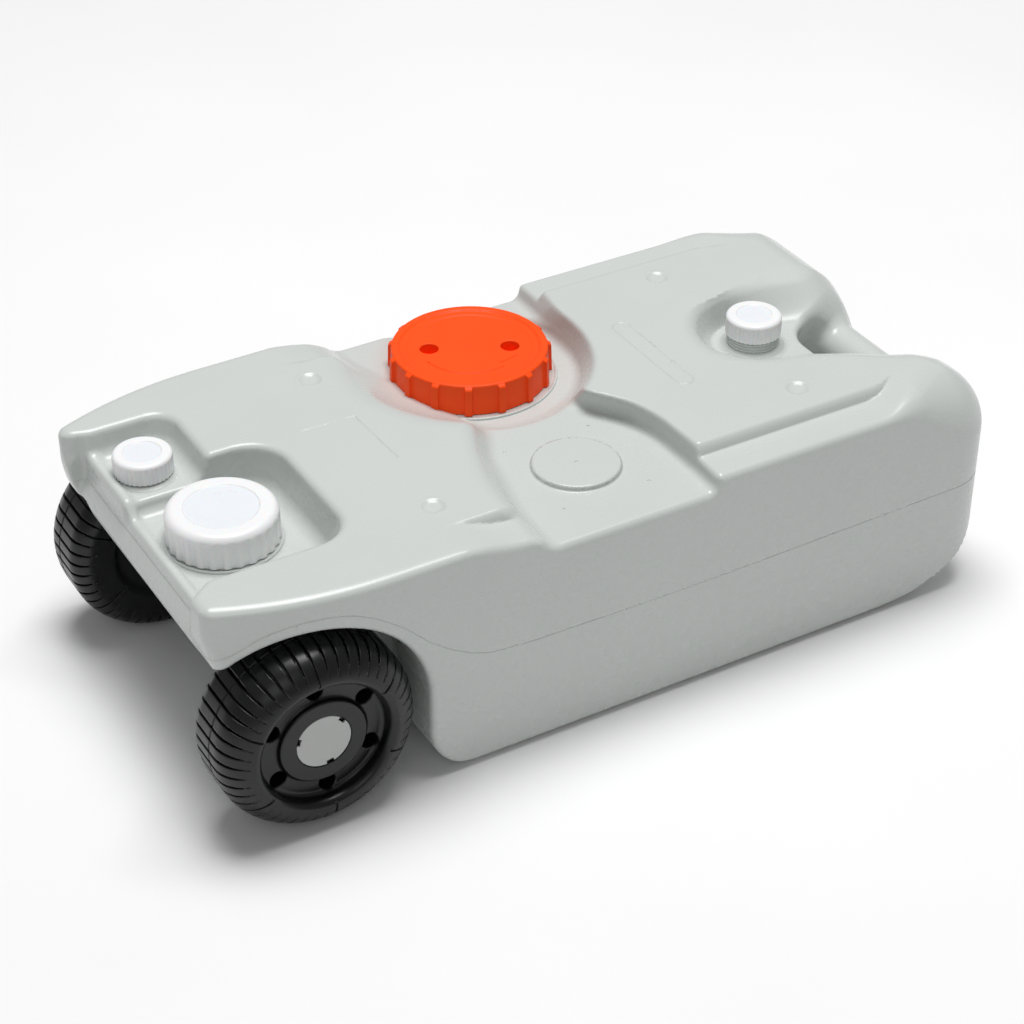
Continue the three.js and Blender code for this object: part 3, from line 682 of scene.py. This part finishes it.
SEAM_FRONT_X = -297
DETAIL_LOW_Z = WAIST_Z - 2
GROOVE_DEPTH, SEAM_DEPTH, DOT_DEPTH = 0.8, 0.4, 1.3
DIMPLE_DEPTH, DIMPLE_RING = 2.0, 0.5


def seam_line(x, y, z):
    """Distance to the parting line, which only shows on the outer sides and across the front."""
    hidden = np.where(x < SEAM_FRONT_X, 0, np.maximum(-plan(x, y) - 3, 0))
    return np.hypot(z - SEAM_HEIGHT(x), hidden * 4)


def fine_lines(x, y, z):
    """Distance to the nearest fine detail."""
    on_deck = np.minimum(deck_lines(x, y), vent_dots(x, y)) + np.maximum(DETAIL_LOW_Z - z, 0)
    return np.minimum(on_deck, seam_line(x, y, z))


def fine_relief(x, y, z):
    """How far the surface sinks at each fine detail."""
    lines = GROOVE_DEPTH * (1 - smooth(0.1, 0.9, deck_lines(x, y))) * (z > DETAIL_LOW_Z)
    seam = SEAM_DEPTH * (1 - smooth(0.1, 0.8, seam_line(x, y, z)))
    dots = DOT_DEPTH * (1 - smooth(0.5, 1.3, vent_dots(x, y))) * (z > DETAIL_LOW_Z)
    return lines + seam + dots


def dimple_relief(x, y):
    """How far the deck sinks at the dimples, each of which has a low ring round it."""
    sink = 0
    for a, b in DIMPLES:
        reach = np.hypot(x - a, y - b)
        ring = DIMPLE_RING * np.exp(-((reach - DIMPLE_RADIUS) / 1.6) ** 2)
        sink = sink + DIMPLE_DEPTH * (1 - smooth(DIMPLE_RADIUS - 5, DIMPLE_RADIUS, reach)) - ring
    return sink


def raised_disc(x, y, z):
    """The disc that stands a little above the floor of the waist."""
    reach = np.hypot(x - DISC_X, y - DISC_Y) - DISC_RADIUS
    return round_max(reach, np.abs(z - WAIST_Z) - DISC_HEIGHT, 1.5)


def tank_skin(x, y, z):
    """The outside of the tank, without its grooves."""
    form = round_min(tank_form(x, y, z), raised_disc(x, y, z), 1.5)
    return form + dimple_relief(x, y) * (z > LEDGE_Z)


# The hollows in the body and in the nose
HOLLOW_INSET = 12
BODY_X, BODY_HALF_LENGTH, BODY_Z, BODY_HALF_HEIGHT, BODY_CORNER = 37, 187, 74, 60, 14
NOSE_X, NOSE_HALF_LENGTH, NOSE_Z, NOSE_HALF_HEIGHT, NOSE_HALF_WIDTH = -208, 72, 119, 22, 80
NOSE_HOLLOW_CORNER = 8
# The openings under the necks reach down to this height
BORE_FOOT_Z = 125


def hollow(x, y, z):
    """The space inside the tank, well clear of its skin: the body and the nose."""
    inner = plan(x, y) + HOLLOW_INSET
    body = round_max(inner, np.abs(z - BODY_Z) - BODY_HALF_HEIGHT, BODY_CORNER)
    body = round_max(body, np.abs(x - BODY_X) - BODY_HALF_LENGTH, BODY_CORNER)
    nose = round_max(inner, np.abs(z - NOSE_Z) - NOSE_HALF_HEIGHT, NOSE_HOLLOW_CORNER)
    nose = round_max(nose, np.abs(y) - NOSE_HALF_WIDTH, NOSE_HOLLOW_CORNER)
    nose = round_max(nose, np.abs(x - NOSE_X) - NOSE_HALF_LENGTH, NOSE_HOLLOW_CORNER)
    return round_min(body, nose, NOSE_HOLLOW_CORNER)


def tank_field(x, y, z):
    """The hollow tank with an opening under each neck. The grooves are narrower than the grid's cells,
    so only single points, which come as flat arrays, are moved by them."""
    form = tank_skin(x, y, z)
    shell = np.maximum(form, -hollow(x, y, z))
    for name, (bore, _) in NECKS.items():
        centre = CAPS[name][0]
        radius = np.hypot(x - centre[0], y - centre[1])
        shell = round_max(shell, -np.maximum(radius - bore, BORE_FOOT_Z - z), 0.6)
    if x.ndim == 1:
        shell = np.maximum(shell, form + fine_relief(x, y, z))
    return shell


TANK_CELL, TANK_SHARE = 2.2, 0.42
FINE_BAND, FINE_CUTS = 2.6, 4


def add_tank():
    field = tank_field
    fine = (fine_lines, FINE_BAND, FINE_CUTS)
    tank = shaped("tank", field, TANK_LOW, TANK_HIGH, TANK_CELL, TANK, TANK_SHARE, fine)
    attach(tank, "tank")
    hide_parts("tank_shell")


add_tank()


# ---------------------------------------------------------------- necks
THREAD_PITCH = {"main_cap": 8, "drain_cap": 6, "vent_cap_front": 4, "vent_cap_rear": 4}
NECK_DECKS = {"main_cap": RECESS_Z, "drain_cap": DRAIN_Z, "vent_cap_front": VENT_Z, "vent_cap_rear": BASIN_Z}
FLANGES = {"main_cap": 65.5, "drain_cap": 41.5, "vent_cap_front": 19.5, "vent_cap_rear": 19.5}
# How far above the deck the wall of a wide neck starts; a narrow neck stands on rings instead
FLANGE_RISE = {"main_cap": 0.7, "drain_cap": 0.9}
NECK_ROOT = 3.6
BORE_GAP = 0.02
BEAD_HEIGHT = 1.7
RING_PITCH = 2.4
THREAD_HEIGHT = 0.6
NECK_SIDES = 144


def turned_mesh(name, profile, centre, material, relief):
    """A closed ring through (radius, height) points; relief(radius, height, angle) moves the wall."""
    turns = NECK_SIDES
    angle = np.arange(turns) * (2 * math.pi / turns)
    radius, height = (np.array(part, float)[None, :] for part in zip(*profile))
    wall = radius + relief(radius, height, angle[:, None])
    x = centre[0] + wall * np.cos(angle)[:, None]
    y = centre[1] + wall * np.sin(angle)[:, None]
    z = height + 0 * x
    count = len(profile)
    points = np.stack([x, y, z], 2).reshape(-1, 3)
    i, j = np.meshgrid(np.arange(turns), np.arange(count), indexing="ij")
    i2, j2 = (i + 1) % turns, (j + 1) % count
    quads = np.stack([i * count + j, i2 * count + j, i2 * count + j2, i * count + j2], 2)
    return mesh_object(name, points, quads.reshape(-1, 4), material)


PROFILE_STEP = 0.6


def stepped_profile(corners):
    """The corners of a closed profile joined by short even steps."""
    points = []
    for (a, b), (c, d) in zip(corners, corners[1:] + corners[:1]):
        count = max(1, int(math.hypot(c - a, d - b) / PROFILE_STEP))
        points += [(a + (c - a) * k / count, b + (d - b) * k / count) for k in range(count)]
    return points


def add_neck(name):
    """A threaded neck: a wide one stands in a beaded flange, a narrow one on a cone with rings."""
    centre, _, bottom, top = CAPS[name]
    bore, outer = NECKS[name]
    flange = FLANGES[name]
    deck_z = NECK_DECKS[name]
    root = deck_z - NECK_ROOT
    rim = top - NECK_DROP
    corners = [(bore + BORE_GAP, root)]
    if name in FLANGE_RISE:
        skirt = deck_z + FLANGE_RISE[name]
        bead = deck_z + BEAD_HEIGHT
        corners += [(flange, root), (flange, bead - 0.6), (flange - 0.5, bead), (flange - 1.5, bead),
                    (flange - 2.2, skirt)]
    else:
        skirt = bottom - 0.7
        corners += [(flange + 4.5, root), (flange + 4.5, deck_z), (flange + 1, deck_z + 1.4)]
        rings = int((skirt - deck_z - 2) / RING_PITCH)
        for foot in (skirt - RING_PITCH * (rings - i) for i in range(rings)):
            corners += [(flange - 0.6, foot), (flange - 0.6, foot + 0.7), (flange + 0.5, foot + 1.1),
                        (flange + 0.5, foot + 2)]
        corners.append((flange, skirt - 0.3))
    corners += [(outer, skirt), (outer, rim - 0.8), (outer - 0.8, rim), (bore + 0.6, rim),
                (bore + BORE_GAP, rim - 0.6)]

    def thread(wall, height, angle):
        phase = (height - skirt) / THREAD_PITCH[name] - angle / (2 * math.pi)
        ridge = np.maximum(np.cos(2 * math.pi * phase), 0) ** 2
        ends = smooth(skirt + 0.6, skirt + 2.5, height) * smooth(rim - 1, rim - 2.5, height)
        return THREAD_HEIGHT * ridge * ends * (np.abs(wall - outer) < 0.05)

    neck = turned_mesh(name.replace("cap", "neck"), stepped_profile(corners), centre, TANK, thread)
    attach(neck, "tank")


for cap_name in CAPS:
    add_neck(cap_name)


# ---------------------------------------------------------------- caps
CAP_BODIES = {"main_cap": "filler_cap", "drain_cap": "drain_screw_cap", "vent_cap_front": "front_vent_cap",
              "vent_cap_rear": "rear_vent_cap"}
CROWN = 3.5
SKIRT_GAP = 1.2
THREAD_DEPTH = 0.45
CAP_SHARE = 0.6


def cap_inside(reach, z, name, angle):
    """The hollow under a cap, with a shallow thread in its wall."""
    bottom, top = CAPS[name][2:]
    pitch = THREAD_PITCH[name]
    phase = (z - bottom) / pitch - angle / (2 * math.pi) + 0.5
    ridge = THREAD_DEPTH * np.maximum(np.cos(2 * math.pi * phase), 0) ** 2
    ridge = ridge * smooth(bottom + 1, bottom + 3, z) * smooth(top - 6, top - 8, z)
    return round_max(reach - (NECKS[name][1] + SKIRT_GAP) + ridge, z - (top - CROWN), 0.8)


def around(angle, count, start):
    """Angle to the nearest of a number of evenly spaced directions."""
    pitch = 2 * math.pi / count
    return np.mod(angle - start + pitch / 2, pitch) - pitch / 2


# The filler cap's ribbed wall and the two steps in its top
RIB_COUNT, RIB_HALF_WIDTH, RIB_HEIGHT, RIB_ROOT = 15, 2.8, 2.4, 52
WALL_DRAFT, RIB_DRAFT = 0.035, 0.03
OUTER_STEP, INNER_STEP = 1.3, 0.6
# Its two key holes, each in a boss, and the directions from one to the other and square to that
KEY_REACH, KEY_RADIUS, KEY_DEPTH = 30, 7, 12
KEY_BOSS_RADIUS, KEY_BOSS_FLOOR = 9.5, 3
ACROSS_X, ACROSS_Y = 0.9, -0.436
ALONG_X, ALONG_Y = 0.436, 0.9
# The curved arrow on its top, in degrees and millimetres
ARROW_RADIUS, ARROW_MIDDLE, ARROW_HALF_TURN = 37, -101, 51
ARROW_TIP = ((34.3, -13.9), (21.3, -23.7))
ARROW_DEPTH, GATE_HEIGHT = 0.7, 0.5


def main_cap_field(x, y, z):
    """The filler cap: a ribbed cup with two key holes and a curved arrow in its top."""
    (cx, cy, _), radius, bottom, top = CAPS["main_cap"]
    dx, dy = x - cx, y - cy
    reach = np.hypot(dx, dy)
    angle = np.arctan2(dy, dx)
    wall = radius - RIB_HEIGHT - WALL_DRAFT * (z - bottom)
    step = OUTER_STEP * smooth(53.5, 51, reach) + INNER_STEP * smooth(47.5, 45.5, reach)
    body = round_max(np.maximum(reach - wall, bottom - z), z - top + step, 1.6)
    side = around(angle, RIB_COUNT, 0) * reach
    rib = round_max(np.abs(side) - RIB_HALF_WIDTH, reach - radius + RIB_DRAFT * (z - bottom), 0.7)
    rib = round_max(rib, z - top + 1.2 + 1.5 * smooth(radius - 3, radius, reach), 0.7)
    rib = np.maximum(np.maximum(rib, bottom - z), RIB_ROOT - reach)
    body = round_min(body, rib, 0.8)
    across = dx * ACROSS_X + dy * ACROSS_Y
    along = dx * ALONG_X + dy * ALONG_Y
    hole = np.hypot(np.abs(across) - KEY_REACH, along)
    boss = round_max(hole - KEY_BOSS_RADIUS, top - KEY_DEPTH - KEY_BOSS_FLOOR - z, 1)
    inside = cut(cap_inside(reach, z, "main_cap", angle), boss, 0.8)
    body = round_max(body, -inside, 0.4)
    body = cut(body, np.maximum(hole - KEY_RADIUS, top - KEY_DEPTH - z), 0.7)
    turn = np.degrees(np.arctan2(along, across))
    arc = np.abs(reach - ARROW_RADIUS) + np.maximum(np.abs(turn - ARROW_MIDDLE) - ARROW_HALF_TURN, 0)
    line = np.minimum(arc, segment(across, along, *ARROW_TIP))
    groove = ARROW_DEPTH * (1 - smooth(0.2, 0.9, line)) * (z > top - 3)
    gate = -GATE_HEIGHT * (1 - smooth(0.3, 1.2, reach)) * (z > top - 3)
    return body + groove + gate


def white_cap_field(name, ribs, depth, shoulder, disc):
    """A white screw cap with fluted sides, a rounded shoulder and a sunk disc in its top."""
    (cx, cy, _), radius, bottom, top = CAPS[name]

    def field(x, y, z):
        reach = np.hypot(x - cx, y - cy)
        angle = np.arctan2(y - cy, x - cx)
        wave = np.clip(0.5 + 0.75 * np.cos(angle * ribs), 0, 1)
        flute = depth * (1 - wave) * smooth(top - shoulder * 0.6, top - shoulder * 1.3, z)
        sunk = 0.7 * smooth(disc + 0.5, disc - 0.5, reach)
        body = round_max(reach - radius + 0.3 + flute, z - top + sunk, shoulder)
        body = round_max(body, bottom - z, 0.6)
        return round_max(body, -cap_inside(reach, z, name, angle), 0.4)

    return field


def paint_disc(piece, name, disc, material):
    """Gives the sunk disc in a cap's top its own plastic."""
    (cx, cy, _), _, _, top = CAPS[name]
    mesh = piece.data
    mesh.materials.append(material)
    centre = np.empty(len(mesh.polygons) * 3, np.float32)
    mesh.polygons.foreach_get("center", centre)
    x, y, z = centre.reshape(-1, 3).T / MM
    inner = (np.hypot(x - cx, y - cy) < disc - 0.3) & (z > top - 1.6)
    mesh.polygons.foreach_set("material_index", inner.astype(np.int32))


def add_cap(name, field, cell, material):
    low, high = box_mm(name)
    cap = shaped(name + "_moulding", field, low, high, cell, material, CAP_SHARE)
    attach(cap, CAP_BODIES[name])
    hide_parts(name)
    return cap


add_cap("main_cap", main_cap_field, 0.8, ORANGE)
WHITE_CAPS = {
    "drain_cap": {"ribs": 26, "depth": 1.1, "shoulder": 6.5, "disc": 26, "cell": 0.7},
    "vent_cap_front": {"ribs": 36, "depth": 0.6, "shoulder": 3.2, "disc": 13.5, "cell": 0.5},
    "vent_cap_rear": {"ribs": 36, "depth": 0.6, "shoulder": 3.2, "disc": 13.5, "cell": 0.5},
}
for cap_name, size in WHITE_CAPS.items():
    white_field = white_cap_field(cap_name, size["ribs"], size["depth"], size["shoulder"], size["disc"])
    white_cap = add_cap(cap_name, white_field, size["cell"], WHITE)
    paint_disc(white_cap, cap_name, size["disc"], WHITE_DISC)


# ---------------------------------------------------------------- wheels
# Radii and places along Y of the left wheel; the right one mirrors it
TYRE_OUTER_ROUND, TYRE_INNER_ROUND = 25, 14
DISH_RADIUS, DISH_Y = 46.5, 150.5
HUB_RADIUS, HUB_FACE_Y, HUB_ROOT_Y = 32, 155, 140
BACK_RADIUS, BACK_Y = 40, 104
BACK_HUB_RADIUS, BACK_HUB_FACE_Y, BACK_HUB_ROOT_Y = 18, 101.5, 130
DISC_SEAT_RADIUS, DISC_SEAT_Y = 20.2, 152.7
NUT_ROOM_RADIUS, NUT_ROOM_Y = 18, 144
BUSH_BORE_RADIUS = 11
WHEEL_HOLES, HOLE_REACH, HOLE_RADIUS, HOLE_FLOOR_Y = 6, 39.5, 5.8, 138
HOLE_ANGLE = math.radians(34)
SLITS, SLIT_FOOT = 48, 56
LONG_SLIT_HALF, LONG_SLIT_DEPTH, LONG_SLIT_FOOT = 0.6, 1.4, 43
TREAD_Y, MIDDLE_GROOVE = 131, 0.6
HUB_DISC_RADIUS, HUB_DISC_Y, HUB_DISC_HALF = 19.9, 153.9, 0.8
NOTCHES, NOTCH_HALF_WIDTH, NOTCH_FOOT = 3, 2.6, 17.4
NOTCH_ANGLE = math.radians(42)


def wheel_field(x, y, z):
    """The left wheel: a wide tyre with a dish in its outer face, a hub, six holes and a slit tread."""
    dx, dz = x - AXLE_X, z - AXLE_Z
    reach = np.hypot(dx, dz)
    angle = np.arctan2(dz, dx)
    tyre = round_max(reach - WHEEL_RADIUS, y - WHEEL_OUTER_Y, TYRE_OUTER_ROUND)
    tyre = round_max(tyre, WHEEL_INNER_Y - y, TYRE_INNER_ROUND)
    form = cut(tyre, round_max(reach - DISH_RADIUS, DISH_Y - y, 3.5), 7)
    boss = round_max(reach - HUB_RADIUS, y - HUB_FACE_Y, 1.6)
    form = round_min(form, np.maximum(boss, HUB_ROOT_Y - y), 3)
    form = cut(form, round_max(reach - BACK_RADIUS, y - BACK_Y, 4), 4)
    back_hub = round_max(reach - BACK_HUB_RADIUS, BACK_HUB_FACE_Y - y, 1)
    form = round_min(form, np.maximum(back_hub, y - BACK_HUB_ROOT_Y), 2)
    form = cut(form, np.maximum(reach - DISC_SEAT_RADIUS, DISC_SEAT_Y - y), 0.4)
    form = cut(form, np.maximum(reach - NUT_ROOM_RADIUS, NUT_ROOM_Y - y), 0.4)
    form = cut(form, reach - BUSH_BORE_RADIUS + 0 * y, 0.4)
    hole_side = around(angle, WHEEL_HOLES, HOLE_ANGLE) * reach
    hole = np.hypot(hole_side, reach - HOLE_REACH) - HOLE_RADIUS
    form = cut(form, np.maximum(hole, HOLE_FLOOR_Y - y), 1.2)
    side = np.abs(around(angle, SLITS, HOLE_ANGLE) * reach)
    wide = 0.35 + 0.5 * smooth(60, 70, reach)
    deep = 0.4 + 2.6 * smooth(57, 68, reach)
    slit = np.maximum(np.maximum(side - wide, -tyre - deep), SLIT_FOOT - reach)
    seam = np.maximum(np.abs(hole_side) - LONG_SLIT_HALF, -tyre - LONG_SLIT_DEPTH)
    form = cut(form, np.minimum(slit, np.maximum(seam, LONG_SLIT_FOOT - reach)), 0.5)
    middle = np.abs(y - TREAD_Y) + 0 * reach
    return form + MIDDLE_GROOVE * (1 - smooth(0.2, 0.9, middle)) * smooth(66, 70, reach)


def hub_disc_field(x, y, z):
    """The disc in the left wheel's hub, with three notches in its edge."""
    dx, dz = x - AXLE_X, z - AXLE_Z
    reach = np.hypot(dx, dz)
    side = np.abs(around(np.arctan2(dz, dx), NOTCHES, NOTCH_ANGLE) * reach)
    disc = round_max(reach - HUB_DISC_RADIUS, np.abs(y - HUB_DISC_Y) - HUB_DISC_HALF, 0.35)
    return cut(disc, np.maximum(side - NOTCH_HALF_WIDTH, NOTCH_FOOT - reach), 0.3)


def add_wheel(hand, side):
    """Adds the wheel and hub disc of one hand; side is 1 for the left and -1 for the right."""
    body = f"{hand}_wheel"
    for name, field, cell, material, slot, share in (
        ("wheel", wheel_field, 0.9, BLACK, "wheel_plastic", 0.5),
        ("hub_cap", hub_disc_field, 0.4, HUB_GREY, "hub_grey", 0.8),
    ):
        node = f"{name}_{hand}"
        low, high = box_mm(node)
        placed = field if side > 0 else (lambda x, y, z, field=field: field(x, -y, z))
        piece = shaped(node + "_moulding", placed, low, high, cell, material, share)
        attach(piece, body)
        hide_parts(node)


add_wheel("left", 1)
add_wheel("right", -1)


# ---------------------------------------------------------------- finish of the CAD's own pieces
CARRIED_OVER = {"axle_rod": STEEL, "washer": STEEL, "push_nut": STEEL, "screw": STEEL, "bush": NYLON,
                "axle_saddle": SADDLE, "gasket": RUBBER}
for node_name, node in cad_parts.items():
    for word, finish in CARRIED_OVER.items():
        if word in node_name:
            node.data.materials.clear()
            node.data.materials.append(finish)


# ---------------------------------------------------------------- stage
CAMERA_PLACE = (-0.7588, -1.2871, 1.1161)
CAMERA_VIEW = (0.4115, 0.7104, -0.5710)
CAMERA_LENS, CAMERA_SENSOR = 86.24, 36
LIGHT_TARGET = (0, 0, 0.1)
FLOOR_REACH = 40


def add_camera():
    data = bpy.data.cameras.new("camera")
    data.lens = CAMERA_LENS
    data.sensor_width = CAMERA_SENSOR
    camera = bpy.data.objects.new("camera", data)
    camera.location = CAMERA_PLACE
    camera.rotation_euler = Vector(CAMERA_VIEW).to_track_quat("-Z", "Y").to_euler()
    bpy.context.scene.collection.objects.link(camera)
    bpy.context.scene.camera = camera


def add_area(name, place, size, power):
    data = bpy.data.lights.new(name, "AREA")
    data.shape = "RECTANGLE"
    data.size, data.size_y = size
    data.energy = power
    light = bpy.data.objects.new(name, data)
    light.location = place
    light.rotation_euler = (Vector(LIGHT_TARGET) - Vector(place)).to_track_quat("-Z", "Y").to_euler()
    bpy.context.scene.collection.objects.link(light)


def add_floor():
    material, tree, shader = new_material("floor", (0.86, 0.86, 0.86), 0.9, Specular_IOR_Level=0.1)
    colours = ramp(tree, noise(tree, 3, 2), [(0.3, (0.85, 0.85, 0.85)), (0.7, (0.87, 0.87, 0.87))])
    tree.links.new(colours, shader.inputs["Base Color"])
    reach = FLOOR_REACH
    corners = [(-reach, -reach, 0), (reach, -reach, 0), (reach, reach, 0), (-reach, reach, 0)]
    mesh = bpy.data.meshes.new("floor")
    mesh.from_pydata(corners, [], [(0, 1, 2, 3)])
    mesh.materials.append(material)
    floor = bpy.data.objects.new("floor", mesh)
    bpy.context.scene.collection.objects.link(floor)


def add_world():
    world = bpy.data.worlds.new("studio")
    world.use_nodes = True
    background = world.node_tree.nodes["Background"]
    background.inputs["Color"].default_value = (1, 1, 1, 1)
    background.inputs["Strength"].default_value = 0.25
    bpy.context.scene.world = world


bpy.context.scene.view_settings.view_transform = "Standard"
add_camera()
add_floor()
add_world()
add_area("key", (0.3, 0.3, 4.0), (2.2, 1.8), 152)
add_area("front", (-1.4, -2.2, 2.0), (1.6, 1.4), 7)
